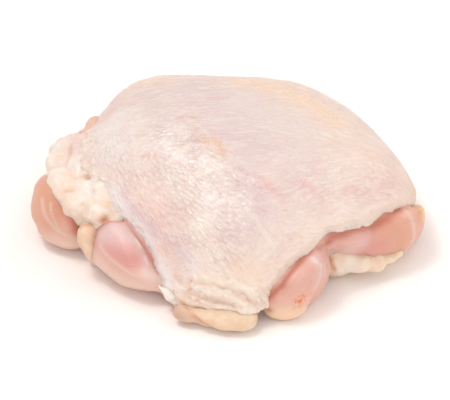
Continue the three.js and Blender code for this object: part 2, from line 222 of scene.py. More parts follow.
# Single pimples on the left of the skin
PIMPLES = [(-44, 6, 27), (-41, 4, 28), (-42, 2, 27), (-38, -1, 30), (-36, 1, 31), (-36, -5, 30),
           (-40, 12, 30), (-35, -10, 29), (-30, -13, 30), (-40, -5, 28), (-42, 9, 28), (-34, -6, 31),
           (-31, -15, 29), (-38, -13, 26), (-43, 15, 27), (-44, 0, 26)]
SKIN_ZONES = {  # where the skin has a colour, gloss or smoothness of its own
    "peach": [
        (6.0, 0.85, [(5, 33, 36), (18, 27, 36), (28, 19, 35), (36, 12, 32.5)]),
        (12, 0.4, [(20, 28, 35), (34, 12, 33), (44, 0, 30), (52, -8, 27)]),
        (5.0, 0.45, [(-34, 38, 31), (-26, 37, 34), (-19, 36, 35)]),
        (5.0, 0.6, [(4, -48, 17), (11, -49, 15)]),
        (4.0, 0.5, [(-4, -52, 9), (7, -53, 10)]),
        (4.0, 0.5, [(-26, -22, 25), (-21, -26, 23)]),
        (2.4, 0.6, ORANGE_PATCH),
    ],
    "lilac": [
        (10, 0.55, [(6, 17, 38), (18, 2, 37), (24, -8, 36), (22, -20, 33)]),
        (14, 0.75, [(-12, 26, 37), (-2, 12, 38.5), (8, 0, 38)]),
        (9, 0.95, [(-5, -2, 38), (2, -4, 38), (10, -10, 37)]),
        (6.0, 0.5, [(-26, 26, 35), (-21, 10, 37), (-14, 7, 38)]),
        (5.0, 1.0, [(4, -20, 35), (9, -26, 32), (10, -32, 29)]),
        (3.5, 0.7, [(0, -39, 25), (8, -37, 27)]),
        (5.0, 0.9, [(-18, -38, 18), (-15, -42, 16), (-11, -45, 15)]),
        (2.5, 0.9, [(-25, -31, 20), (-21, -35, 19), (-18, -40, 16)]),
    ],
    "rosy": [
        (3.0, 0.6, [(-46, 14, 24), (-47, 9, 24), (-46, 1, 24), (-41, -9, 25)]),
        (4.0, 0.35, [(-46, 17, 24.5), (-42, 24, 27), (-38, 32, 28)]),
        (2.0, 0.8, [(10, -22, 34), (12, -24, 33), (16, -27, 31)]),
        (2.2, 0.6, [(23, -22, 32), (29, -24, 29)]),
        (1.8, 0.5, [(37, -21, 29), (41, -20, 29)]),
        (0.7, 0.8, [(-16.7, 7.4, 37.7), (-9.2, 7, 38.4)]),
        (0.7, 0.8, [(-7, 18, 38.1), (0.2, 18.5, 38.2)]),
        (9.0, 0.5, [(-28, -24, 24), (-22, -30, 22)]),
        (5.0, 0.5, [(48, -18, 26), (55, -12, 24)]),
    ],
    "stained": [
        (0.6, 0.35, [(-29.9, 2.5, 34.2), (-26.6, 1.4, 35.3)]),
        (0.6, 0.45, LINE_BELOW_CREST),
        (0.6, 0.35, LINE_AT_LEFT),
        (0.5, 0.3, [(-35.8, 26, 30.6), (-30.9, 22.8, 33.1)]),
        (1.2, 0.35, ORANGE_PATCH),
        (0.7, 0.6, [(-12, -45.9, 13.7), (-11, -46.6, 13.5)]), (0.7, 0.7, [(-8.8, -50.4, 9.3)]),
        (0.7, 0.6, [(-17.3, -46.5, 6.3), (-15.1, -47.5, 7.5), (-12.9, -48.9, 7.8)]),
        (0.6, 0.5, [(5.7, -53.4, 10.1), (6.6, -53.6, 9.5)]), (0.6, 0.5, [(-12.8, -47, 11.5)]),
        (0.9, 0.5, [(-4, -45, 19)]), (0.7, 0.6, [(-18, -31, 23)]), (0.7, 0.35, [(-13, -33, 24)]),
        (1.1, 1.0, [(-46.2, -4.5, 23), (-44.6, -7, 23)]), (0.8, 0.8, [(-11.6, -47.8, 11.6)]),
        (0.8, 0.7, [(-9.4, -50.6, 9)]), (0.5, 0.5, [(21, -7, 36)]), (0.6, 0.5, [(19, -14, 35)]),
        (0.5, 0.4, [(16, -8, 37)]),
    ],
    "hem": [
        (4.0, 0.8, [(-18, -41, 15), (-12.5, -44.5, 14.5)]),
        (3.3, 1.0, LEFT_HEM),
    ],
    "calm": [
        (4.5, 1.0, [(14, -50, 13), (24, -41, 20), (30, -35, 23), (42, -29, 21), (50, -22, 21),
                    (58, -15, 19)]),
        (3.0, 1.0, LEFT_HEM),
    ],
    "even": [
        (8.0, 1.0, [(4, 16, 38), (14, 9, 37), (25, 4, 35)]),
        (6.0, 0.5, [(24, -4, 35), (22, -12, 34)]),
    ],
    # the purple band just inside the left hem is painted shade
    "inner_hem_shade": [
        (1.3, 0.6, [(-33, -19, 26.5), (-30, -25, 24.5), (-26, -30, 22.5), (-22.5, -34, 20)]),
        (2.0, 0.5, [(-17, -36, 20), (-14, -41, 17)]),
    ],
    "creamy": [
        (7.0, 1.3, [(-15, -47, 8), (-6, -50, 10), (3, -52, 10), (9, -52, 10)]),
    ],
    "fatty": [
        (4.5, 1.0, [(-47, 18, 23), (-47, 9, 24), (-48, 3, 22), (-45, -4, 23.5), (-42, -10, 24)]),
        (3.5, 0.8, [(-16, -46, 8), (-11, -49, 8), (-4, -52, 9), (3, -53, 9), (8, -53, 9)]),
    ],
    "wet": [
        (9.0, 1.0, [(-19, -2, 37), (-9, -16, 35), (2, -28, 32), (6, -35, 28)]),
        (6.0, 0.6, [(-9, -29, 29), (-4, -38, 25)]),
    ],
    # pale: a painted highlight along the wet band by the crest, and paler skin at the left
    "pale": [
        (10, 0.8, [(-19, -2, 37), (-9, -16, 35), (0, -27, 32)]),
        (9.0, 0.9, [(-38, 14, 30), (-37, 2, 30)]),
    ],
}
SKIN_NETS = {  # where each net of wrinkles lies
    "net_cells": [(9, 1.0, [(-19, -2, 37), (-9, -16, 35), (4, -29, 31)])],
    "net_steep": [(9, 1.0, [(-40, 6, 28), (-37, -8, 28), (-30, -20, 25), (-22, -30, 22)])],
    "net_slant": [(11, 1.0, [(-22, -18, 29), (-8, -34, 27), (-4, -40, 22)])],
    "net_cobble": [(11, 1.0, [(20, -22, 32), (36, -19, 31), (48, -14, 27)]),
                   (8, 0.7, [(18, -40, 21), (12, -44, 19)])],
    "net_folds": [(5.5, 1.3, [(-15, -47, 8), (-4, -52, 9), (8, -53, 9)])],
}
MEAT_ZONES = {  # where the meat has a membrane or a colour of its own
    "film": [
        (0.7, 1.0, [(-60, -11, 18), (-59, -14, 15), (-56, -16, 11), (-54, -17, 10)]),
        (0.5, 0.8, [(-57, -13, 18), (-57, -15, 16), (-55, -17, 12), (-52, -17, 10), (-49, -17, 10)]),
        (0.6, 1.0, [(-41, -32, 15), (-38, -36, 14), (-34, -40, 13), (-30, -42, 11), (-26, -42, 10),
                    (-22, -41, 7)]),
        (2.4, 1.4, [(-26, -41, 11), (-23.5, -41, 10), (-21, -41, 8)]),
        (0.8, 1.0, [(54.5, -16, 18.5), (57, -19, 17), (58.8, -20.5, 14), (59, -21, 10), (57, -22, 5)]),
        (1.1, 1.8, [(26, -42.6, 17), (27, -42.6, 16.4)]), (0.9, 1.4, [(28.5, -42.4, 15)]),
        (0.5, 0.9, [(28.5, -43, 14), (28, -45, 11), (26.5, -47, 9)]),
        (0.5, 0.9, [(30, -41, 14), (30, -42, 11)]),
        (0.6, 1.6, [(-29.6, -32.6, 17), (-28.4, -34, 15.6)]),
        (0.5, 1.6, [(-26, -36.6, 14), (-25, -38.4, 12.6)]),
        (0.6, 0.8, [(32, -32, 17), (34, -31, 14)]),
    ],
    # lilac: membranes, and on the left-front muscle a painted sheen as well
    "lilac": [
        (5.0, 0.9, [(-40.6, -28.9, 18.3), (-37.3, -29.6, 20.3), (-31, -32, 19)]),
        (3.0, 0.6, [(-28, -35, 16), (-25, -38, 12)]),
        (3.0, 0.45, [(27, -41.6, 17.5), (28.5, -42.3, 15.3), (28, -44.9, 11.4)]),
        (4.0, 0.7, [(34, -26, 12), (37.1, -26.4, 13.3), (40.1, -27.1, 15.4)]),
        (4.0, 0.4, [(-61, -2, 18), (-61, -7, 17)]),
    ],
    "tan": [
        (7.0, 0.9, [(-57.5, -9, 20.7), (-56, -14, 16)]),
        (4.0, 0.7, [(49.7, -23.7, 19.2), (53, -24, 15), (55, -24, 11)]),
    ],
    "apricot": [
        (4.0, 1.0, [(12, -51, 3), (16, -52, 3), (22, -50, 3)]), (4.0, 0.4, [(-46, 24, 23)]),
    ],
    "pale": [
        (4.5, 0.9, [(-60, -14, 5), (-56, -17, 5), (-51, -18, 5), (-47, -18, 6)]),
        (3.5, 0.8, [(-41, -33, 8), (-36, -38, 7), (-31, -41, 6), (-25, -42, 5)]),
        (4.0, 0.4, [(-41, -28, 19), (-37, -31, 20)]),
    ],
    "peach": [
        (9.0, 0.8, [(-58, -4, 20), (-60, -8, 12)]),
        (5.0, 0.7, [(-60, -1, 20), (-58, -5, 21)]),
        (5.0, 0.6, [(50, -26, 17), (54, -23, 18), (56, -23, 13)]),
        (2.2, 1.0, [(58.5, -15, 18), (61, -17, 15)]),
        (2.5, 0.8, [(-46, 22, 22), (-46, 16, 24)]),
    ],
    # red: redder meat near the hems and under the ruffle, partly its own colour and partly painted
    # shade
    "red": [
        (3.5, 0.9, [(-40, -32, 16), (-37, -36, 16), (-32, -39, 16), (-28, -38, 14)]),
        (4.5, 0.9, [(42, -28, 14), (45, -28, 13), (48, -28, 13)]),
        (3.0, 0.5, [(-55, -12, 20), (-53, -15, 18), (-51, -12, 12)]),
    ],
    # deep: painted shade in the crevices under the skin's hems, the ruffle and the front lip
    "deep": [
        (0.9, 0.7, [(-33, -25, 19), (-29, -31, 17), (-25, -35, 13), (-22, -38, 9)]),
        (1.6, 0.9, [(12, -50, 8), (17, -50, 13), (22, -44, 16), (25, -39, 18)]),
        (1.8, 0.9, [(32, -34, 20), (39, -26, 16), (45, -26, 18), (50, -23, 19), (54, -17, 18)]),
        (1.8, 0.7, [(-54.4, -11.8, 20.5), (-52.1, -16, 18.6), (-50, -18.5, 15), (-48, -19, 11)]),
        (2.3, 1.0, [(31.5, -34.6, 18.4)]), (1.2, 0.6, [(28, -38, 18.5), (31, -35, 18.2)]),
        (1.6, 0.9, [(-43, -24, 20), (-40, -25.5, 20.5), (-36, -26, 21)]),
        (1.2, 0.8, [(11, -51, 7), (13, -51, 5)]),
    ],
    "stained": [(1.6, 1.2, [(21, -50.6, 7.4), (22.6, -49.8, 8.2)]), (1.2, 0.9, [(11, -51, 7)])],
}
# White patches: pale lobes, partly their own colour and partly painted highlights; on the right strip
# painted light where it lies in shade
FAT_WHITE = {
    "fat_left": [(3.6, 0.6, [(-49.6, 5, 21), (-49, 1, 21.5)]),
                 (3.0, 0.8, [(-44.3, -9.7, 22), (-43, -13, 22)]),
                 (4.0, 0.8, [(-56, 18, 17.5), (-57, 12, 17)]),
                 (2.4, 0.3, [(-54.6, -4, 22)]), (2.0, 0.4, [(-47.5, -17, 21)])],
    "fat_front": [(3.0, 1.3, [(-21.6, -44.3, 8.4), (-19, -46.6, 6)])],
    "fat_right": [(3.5, 0.7, [(36, -31, 6), (40, -31, 6)]), (1.2, 0.7, [(43, -29, 8)])],
}
FAT_ROSY = {
    "fat_seam": [(3.5, 0.9, [(-43, -28, 6), (-42, -27, 2)])],
    "fat_left": [(5, 0.9, [(-52, 24, 19), (-49, 16, 22), (-48, 6, 22.5)])],
    "fat_front": [(4.5, 0.9, [(-15, -53, 4), (-18, -50, 4)]), (2.5, 0.6, [(-9, -56, 3)])],
}
FAT_CREASES = {  # stained creases, which are carved as well
    "fat_left": [(1.0, 0.6, [(-50.2, 13, 19.5), (-51, 9.5, 20.2)]),
                 (0.7, 0.3, [(-51, 9.5, 20.2), (-52.4, 4, 20.8)]),
                 (0.9, 0.8, [(-46, -5, 22.5), (-44.4, -7.5, 22.5)]),
                 (0.9, 0.7, [(-45, -1, 20), (-43, -6, 21)]),
                 (1.1, 0.7, [(-51.4, -11.6, 20), (-50, -12.6, 20.4)]),
                 (0.7, 0.5, [(-41.7, -13.2, 22)]), (0.6, 0.5, [(-46.5, -18, 20.5)]),
                 (1.2, 1.2, [(-39.4, -24.6, 20), (-38, -25.4, 20.6)])],
    "fat_seam": [(1.3, 0.8, [(-47, -25, 18.4), (-44, -25, 18.8)]),
                 (0.9, 0.6, [(-47.8, -27, 15), (-47.2, -29, 10)]),
                 (0.7, 0.3, [(-42.6, -27.5, 16), (-43, -29.5, 11)])],
    "fat_front": [(1.0, 0.8, [(-13, -52, 6.5), (-10.5, -55.5, 4.5), (-7, -57.5, 2)])],
    "fat_right": [(1.0, 0.8, [(32.6, -30, 8), (33.4, -31.6, 6)])],
    "fat_tab": [(2.4, 1.0, [(58.5, -12, 16.5), (61, -14, 14.5)])],
}


# ---- Mesh helpers ---------------------------------------------------------------------------

def new_object(name, mesh):
    obj = bpy.data.objects.new(name, mesh)
    bpy.context.scene.collection.objects.link(obj)
    return obj


def merged_copy(node, name):
    """A new object with a copy of a solid's mesh, its loose triangles merged into one shell."""
    bm = bmesh.new()
    bm.from_mesh(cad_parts[node].data)
    bmesh.ops.remove_doubles(bm, verts=bm.verts, dist=WELD * MM)
    bmesh.ops.dissolve_degenerate(bm, edges=bm.edges, dist=WELD * MM)
    mesh = bpy.data.meshes.new(name)
    bm.to_mesh(mesh)
    bm.free()
    return new_object(name, mesh)


def apply_modifiers(obj):
    graph = bpy.context.evaluated_depsgraph_get()
    mesh = bpy.data.meshes.new_from_object(obj.evaluated_get(graph))
    obj.modifiers.clear()
    obj.data = mesh


def add_lobes(obj, lobes):
    """Adds rounded lobes to a piece, for the remeshing to melt into it."""
    bm = bmesh.new()
    bm.from_mesh(obj.data)
    for centre, half in lobes:
        place = Matrix.LocRotScale(Vector(centre) * MM, None, Vector(half) * MM)
        bmesh.ops.create_icosphere(bm, subdivisions=BALL_LEVELS, radius=1, matrix=place)
    bm.to_mesh(obj.data)
    bm.free()


def remeshed(obj, voxel, rounds):
    """Gives the piece an even mesh of small faces, and smooths the facets and steps away."""
    remesh = obj.modifiers.new("even faces", "REMESH")
    remesh.mode = "VOXEL"
    remesh.voxel_size = voxel * MM
    smooth = obj.modifiers.new("rounded", "SMOOTH")
    smooth.factor = SMOOTHING
    smooth.iterations = rounds
    apply_modifiers(obj)


def points_and_normals(obj):
    """The mesh's points, in millimetres, and the normals there, both as rows of three."""
    count = len(obj.data.vertices)
    points, normals = np.empty(count * 3), np.empty(count * 3)
    obj.data.vertices.foreach_get("co", points)
    obj.data.vertex_normals.foreach_get("vector", normals)
    return points.reshape(-1, 3) / MM, normals.reshape(-1, 3)


def move_points(obj, points):
    obj.data.vertices.foreach_set("co", (points * MM).ravel())
    obj.data.update()


def set_points(obj, points):
    """Moves the points, but none of them below the table."""
    points[:, 2] = np.maximum(points[:, 2], 0)
    move_points(obj, points)


def grow(obj, reach):
    points, normals = points_and_normals(obj)
    move_points(obj, points + normals * reach)


def melted(obj, voxel, reach, rounds):
    """Melts a piece's lobes into one mass: swollen, joined, smoothed and shrunk again."""
    remeshed(obj, voxel, ROUNDS_BEFORE)
    grow(obj, reach)
    remeshed(obj, voxel, rounds)
    grow(obj, -reach)
    remeshed(obj, voxel, ROUNDS_AFTER)


def paint(obj, name, values):
    obj.data.attributes.new(name, "FLOAT", "POINT").data.foreach_set("value", values)


def finish_piece(obj, node, material):
    obj.data.polygons.foreach_set("use_smooth", [True] * len(obj.data.polygons))
    obj.data.materials.append(material)
    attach(obj, BODY)
    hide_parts(node)


# ---- Strokes and noise over a surface -------------------------------------------------------

def smoothstep(low, high, x):
    t = np.clip((x - low) / (high - low), 0, 1)
    return t * t * (3 - 2 * t)


def laid_on(points, normals, path):
    """A path's points moved onto the surface beside them."""
    laid = []
    for p in np.array(path, float):
        near = np.argmin(((points - p) ** 2).sum(1))
        laid.append(p - normals[near] * np.dot(p - points[near], normals[near]))
    return np.array(laid)


def distance_to(points, path):
    best = np.sqrt(((points - path[0]) ** 2).sum(1))
    for a, b in zip(path[:-1], path[1:]):
        t = np.clip((points - a) @ (b - a) / max(TINY, (b - a) @ (b - a)), 0, 1)
        best = np.minimum(best, np.sqrt(((points - a - t[:, None] * (b - a)) ** 2).sum(1)))
    return best


def stroked(points, normals, strokes):
    """A stroke's strength along it, fading over its radius, and the stronger where two meet."""
    mask = np.zeros(len(points))
    for radius, strength, path in strokes:
        away = distance_to(points, laid_on(points, normals, path))
        mask = np.maximum(mask, strength * np.exp(-(away / radius) ** 2))
    return mask


def push(obj, node):
    """Moves the places of a piece that PUSHES names."""
    for radius, move, point in PUSHES.get(node, []):
        points = points_and_normals(obj)[0]
        near = np.exp(-(distance_to(points, np.array([point], float)) / radius) ** 2)
        set_points(obj, points + near[:, None] * np.array(move))


def swell_over(points, layers):
    """Soft unevenness, in layers of noise."""
    total = 0
    for width, height, seed in layers:
        field = [noise.noise(Vector(p)) for p in points / width + seed]
        total = total + np.array(field) * height
    return total


def domes_over(points, width, seed):
    """Rounded cells: 0 in the grooves between them and up to 1 on their tops."""
    heights = []
    for p in points / width + seed:
        near = noise.voronoi(Vector(p))[0]
        heights.append(near[1] - near[0])
    return smoothstep(0, DOME_SLOPE, np.array(heights))


# ---- Skin -----------------------------------------------------------------------------------

def unrolled(points):
    """The skin laid flat round its crest: a point keeps its bearing and its distance over it."""
    away = points - CREST
    level = np.maximum(TINY, np.hypot(away[:, 0], away[:, 1]))
    reach = np.sqrt((away ** 2).sum(1))
    return away[:, 0] / level * reach, away[:, 1] / level * reach


def crinkles_over(u, v):
    """Long rounded cells that lie along the angles of CRINKLES on the unrolled skin."""
    total = 0
    for angle, length, width, height, seed in CRINKLES:
        cos, sin = math.cos(math.radians(angle)), math.sin(math.radians(angle))
        along, across = u * cos + v * sin, v * cos - u * sin
        cells = np.stack([along / length, across / width, 0 * u], 1)
        total = total + domes_over(cells, 1.0, seed) * height
    return total


def skin_relief(points, normals, zones, nets):
    """How far the skin stands out over its solid."""
    radius, height = PIMPLE
    margin = zones["fatty"] * (points[:, 0] < LEFT_MARGIN)
    lobules = (domes_over(points, *SKIN_LOBULE) + MARGIN_SWELL) * margin
    cobbled = COBBLES + MORE_COBBLES * nets["net_cobble"]
    cobbles = (domes_over(points, *SKIN_COBBLE) - 0.5) * cobbled
    crinkles = crinkles_over(*unrolled(points)) * nets["net_folds"]
    pimples = stroked(points, normals, [(radius, height, [place]) for place in PIMPLES])
    carved = zones["ridge"] * RIDGE - zones["furrow"] * FURROW
    return swell_over(points, SKIN_SWELL) + lobules + cobbles + crinkles + pimples + carved


def skin_sheet():
    """The skin's solid with finer faces, whose sharp edges weigh 1 in the group rim."""
    obj = merged_copy("skin", "chicken_skin")
    bm = bmesh.new()
    bm.from_mesh(obj.data)
    bmesh.ops.join_triangles(bm, faces=bm.faces, angle_face_threshold=math.pi,
                             angle_shape_threshold=math.pi)
    sharp = [e for e in bm.edges if e.calc_face_angle(0) > math.radians(RIM_ANGLE)]
    rim = {v.index for e in sharp for v in e.verts}
    bm.to_mesh(obj.data)
    bm.free()
    obj.vertex_groups.new(name="rim").add(sorted(rim), 1.0, "REPLACE")
    fine = obj.modifiers.new("fine faces", "SUBSURF")
    fine.levels = fine.render_levels = SKIN_LEVELS
    apply_modifiers(obj)
    return obj


def skin_zones(points, normals):
    """The masks of the skin's zones, ridges and furrows, and of its far side, whose tint is painted
    shade.
    """
    zones = {name: stroked(points, normals, strokes) for name, strokes in SKIN_ZONES.items()}
    back = smoothstep(*BACK_FACING, normals[:, 1]) * smoothstep(*BACK_FADE, points[:, 0])
    zones["far"] = np.maximum(back, smoothstep(*RIGHT_FACING, normals[:, 0]))
    zones["ridge"] = stroked(points, normals, SKIN_RIDGES)
    zones["furrow"] = stroked(points, normals, SKIN_FURROWS)
    return zones


def skin_nets(points, normals):
    """The share that each net of wrinkles has in a place, 1 in all."""
    nets = {name: stroked(points, normals, strokes) for name, strokes in SKIN_NETS.items()}
    nets["net_top"] = np.clip(TOP_SHARE - sum(nets.values()), LEAST_SHARE, 1)
    total = sum(nets.values())
    return {name: mask / total for name, mask in nets.items()}


def frayed(raised, points, rim, outer, hem):
    """The raised points, with the rim drawn in and its hem made wavy and ragged."""
    pressed = RIM_PRESSED * rim + RIM_ROUNDED * rim * outer
    ragged = RAGGED + MORE_RAGGED * hem
    wavy = (swell_over(points, HEM_WAVE) + swell_over(points, HEM_RAG) * ragged) * rim
    upward = points - POLE
    upward /= np.linalg.norm(upward, axis=1)[:, None]
    outward = upward * (1, 1, 0)
    return raised + outward * wavy[:, None] - upward * pressed[:, None]


def skin_piece(material):
    obj = skin_sheet()
    points, normals = points_and_normals(obj)
    rim = np.array([sum(g.weight for g in v.groups) for v in obj.data.vertices])
    outer = smoothstep(*OUTER_FACE, (normals * (points - CENTRE)).sum(1))
    u, v = unrolled(points)
    flat = obj.data.attributes.new("flat", "FLOAT_VECTOR", "POINT")
    flat.data.foreach_set("vector", np.stack([u, v, 0 * u], 1).ravel())
    zones, nets = skin_zones(points, normals), skin_nets(points, normals)
    for name, mask in (zones | nets | {"edge": rim}).items():
        paint(obj, name, mask)
    height = skin_relief(points, normals, zones, nets) * outer
    raised = points + normals * height[:, None]
    set_points(obj, frayed(raised, points, rim, outer, zones["hem"]))
    push(obj, "skin")
    finish_piece(obj, "skin", material)


# ---- Meat and fat ---------------------------------------------------------------------------

def lobed_piece(node, name, voxel):
    """A copy of a solid with its lobes melted into it."""
    obj = merged_copy(node, name)
    add_lobes(obj, LOBES[node])
    melted(obj, voxel, *MELT[node])
    push(obj, node)
    return obj, *points_and_normals(obj)


def meat_piece(material):
    obj, points, normals = lobed_piece("meat", "leg_meat", MEAT_VOXEL)
    masks = {name: stroked(points, normals, strokes) for name, strokes in MEAT_ZONES.items()}
    for name, mask in masks.items():
        paint(obj, name, mask)
    height = swell_over(points, MEAT_SWELL) + masks["film"] * FILM + MEAT_FULLNESS
    set_points(obj, points + normals * height[:, None])
    finish_piece(obj, "meat", material)


def fat_piece(node, name, lumpy, fullness, material):
    obj, points, normals = lobed_piece(node, name, FAT_VOXEL)
    crease = stroked(points, normals, FAT_CREASES[node])
    domes = domes_over(points, *FAT_LOBULE)
    paint(obj, "stained", crease)
    paint(obj, "rosy", stroked(points, normals, FAT_ROSY.get(node, [])))
    paint(obj, "white", stroked(points, normals, FAT_WHITE.get(node, [])))
    paint(obj, "hollow", (1 - domes) * lumpy)
    lumps = (domes * FAT_DOME + swell_over(points, FAT_GRAIN)) * lumpy
    swell = swell_over(points, FAT_SWELL) * (LEAST_SWELL + lumpy)
    height = lumps + swell - crease * CREASE + fullness
    set_points(obj, points + normals * height[:, None])
    finish_piece(obj, node, material)


# ---- Shader helpers -------------------------------------------------------------------------

LIT = 0.845     # surfaces are this much darker than they show, as the studio's light is above white


def rgb(red, green, blue):
    """A surface's colour from the sRGB values, 0 to 255, that it shows in the studio's light."""
    linear = [((c / 255 + 0.055) / 1.055) ** 2.4 for c in (red, green, blue)]
    return (*[LIT * c for c in linear], 1)


def put(tree, socket, value):
    """Links a socket to an output, or gives it a plain value."""
    if isinstance(value, bpy.types.NodeSocket):
        tree.links.new(value, socket)
    elif value is not None:
        socket.default_value = value


def maths(tree, operation, a, b=None, c=None):
    node = tree.nodes.new("ShaderNodeMath")
    node.operation = operation
    for socket, value in zip(node.inputs, (a, b, c)):
        put(tree, socket, value)
    return node.outputs[0]


def vector_maths(tree, operation, a, b):
    node = tree.nodes.new("ShaderNodeVectorMath")
    node.operation = operation
    put(tree, node.inputs[0], a)
    put(tree, node.inputs["Scale" if operation == "SCALE" else 1], b)
    return node.outputs[0]


def attribute(tree, name, output="Fac"):
    node = tree.nodes.new("ShaderNodeAttribute")
    node.attribute_name = name
    return node.outputs[output]


def position(tree):
    """Object coordinates in millimetres."""
    node = tree.nodes.new("ShaderNodeTexCoord")
    return vector_maths(tree, "MULTIPLY", node.outputs["Object"], (1 / MM, 1 / MM, 1 / MM))


def noise_field(tree, vector, scale, detail, output="Fac"):
    node = tree.nodes.new("ShaderNodeTexNoise")
    put(tree, node.inputs["Vector"], vector)
    put(tree, node.inputs["Scale"], scale)
    put(tree, node.inputs["Detail"], detail)
    return node.outputs[output]


def ranged(tree, value, low, high, to_low=0.0, to_high=1.0):
    """A value eased from one range to another, and held at its ends."""
    node = tree.nodes.new("ShaderNodeMapRange")
    node.interpolation_type = "SMOOTHSTEP"
    for socket, number in zip(node.inputs, (value, low, high, to_low, to_high)):
        put(tree, socket, number)
    return node.outputs[0]


def patches(tree, vector, scale, detail, *limits):
    """Noise sharpened into patches between two of its values."""
    return ranged(tree, noise_field(tree, vector, scale, detail), *limits)


def tinted(tree, base, colour, mask):
    """A colour shaded to another one where the mask is above 0, and wholly from 1 on."""
    node = tree.nodes.new("ShaderNodeMix")
    node.data_type = "RGBA"
    put(tree, node.inputs[0], mask)
    put(tree, node.inputs[6], base)
    put(tree, node.inputs[7], colour)
    return node.outputs[2]


def marked(tree, base, mark, mask):
    """A colour shaded to a mark's own, by the share that the mark has of it."""
    tint, share = mark
    return tinted(tree, base, rgb(*tint), maths(tree, "MULTIPLY", mask, share))


def new_group(name, inputs, outputs):
    """A node group with the sockets {name: (type, default)}, its inputs and its outputs."""
    group = bpy.data.node_groups.new(name, "ShaderNodeTree")
    for kind, names in (("INPUT", inputs), ("OUTPUT", outputs)):
        for socket, (socket_type, default) in names.items():
            made = group.interface.new_socket(socket, in_out=kind, socket_type=socket_type)
            if default is not None:
                made.default_value = default
    given = group.nodes.new("NodeGroupInput")
    out = group.nodes.new("NodeGroupOutput")
    return group, given.outputs, out.inputs


def placed(tree, group, **values):
    node = tree.nodes.new("ShaderNodeGroup")
    node.node_tree = group
    for name, value in values.items():
        put(tree, node.inputs[name], value)
    return node.outputs


SWAY_NOISE = (0.35, 2.0)            # scale and detail of the noise that sways the grooves
GROOVE_WALLS = (-0.04, 0.5)         # distances from a groove's middle between which its wall rises
STREAK_SHAPE = (0.55, 1.5, 1)       # how many streaks there are along, and across, a cell
STREAK_PATCHES = (1.0, 3.0, 0.35, 0.65)


def swayed(group, given):
    """The net's coordinates, moved to and fro by a share of its pitch."""
    sway = noise_field(group, given["Vector"], *SWAY_NOISE, "Color")
    sway = vector_maths(group, "SUBTRACT", sway, (0.5, 0.5, 0.5))
    reach = maths(group, "MULTIPLY", given["Sway"], given["Pitch"])
    return vector_maths(group, "ADD", given["Vector"], vector_maths(group, "SCALE", sway, reach))


def net_cells(group, given):
    """The swayed coordinates turned to the net's angle, in which a cell is one unit by one."""
    turn = group.nodes.new("ShaderNodeVectorRotate")
    turn.rotation_type = "Z_AXIS"
    put(group, turn.inputs["Vector"], swayed(group, given))
    put(group, turn.inputs["Angle"], maths(group, "MULTIPLY", given["Angle"], -math.pi / 180))
    size = group.nodes.new("ShaderNodeCombineXYZ")
    put(group, size.inputs["X"], maths(group, "MULTIPLY", given["Pitch"], given["Stretch"]))
    put(group, size.inputs["Y"], given["Pitch"])
    put(group, size.inputs["Z"], 1)
    return vector_maths(group, "DIVIDE", turn.outputs["Vector"], size.outputs[0])


def wrinkle_net():
    """A net of fine wrinkles at one angle: rounded cells between grooves, and streaks along them."""
    inputs = {"Vector": (VECTOR, None), "Angle": (FLOAT, 0.0), "Stretch": (FLOAT, 1.5),
              "Pitch": (FLOAT, 2.0), "Sway": (FLOAT, 0.6)}
    outputs = {"Height": (FLOAT, None), "Streak": (FLOAT, None)}
    group, given, out = new_group("wrinkle net", inputs, outputs)
    cells = net_cells(group, given)
    edges = group.nodes.new("ShaderNodeTexVoronoi")
    edges.voronoi_dimensions = "2D"
    edges.feature = "DISTANCE_TO_EDGE"
    put(group, edges.inputs["Vector"], cells)
    put(group, edges.inputs["Scale"], 1)
    put(group, out["Height"], ranged(group, edges.outputs["Distance"], *GROOVE_WALLS))
    drawn = vector_maths(group, "MULTIPLY", cells, STREAK_SHAPE)
    put(group, out["Streak"], patches(group, drawn, *STREAK_PATCHES))
    return group


def mottling():
    """Soft blotches of one size, 0 to 1, with finer ones inside them."""
    inputs = {"Vector": (VECTOR, None), "Size": (FLOAT, 6.0), "Contrast": (FLOAT, 0.2)}
    group, given, out = new_group("mottling", inputs, {"Mask": (FLOAT, None)})
    field = noise_field(group, given["Vector"], maths(group, "DIVIDE", 1.0, given["Size"]), 4.0)
    low = maths(group, "SUBTRACT", 0.5, given["Contrast"])
    high = maths(group, "ADD", 0.5, given["Contrast"])
    put(group, out["Mask"], ranged(group, field, low, high))
    return group


def new_material(name):
    material = bpy.data.materials.new(name)
    material.use_nodes = True
    tree = material.node_tree
    return material, tree, tree.nodes["Principled BSDF"]


def bumped(tree, height, depth):
    """The normal of a relief that is as many millimetres deep."""
    node = tree.nodes.new("ShaderNodeBump")
    put(tree, node.inputs["Distance"], depth * MM)
    put(tree, node.inputs["Height"], height)
    return node.outputs["Normal"]


def set_values(tree, shader, values):
    """Gives a shader's sockets the plain values {name: value}."""
    for name, value in values.items():
        put(tree, shader.inputs[name], value)


# ---- Skin material --------------------------------------------------------------------------

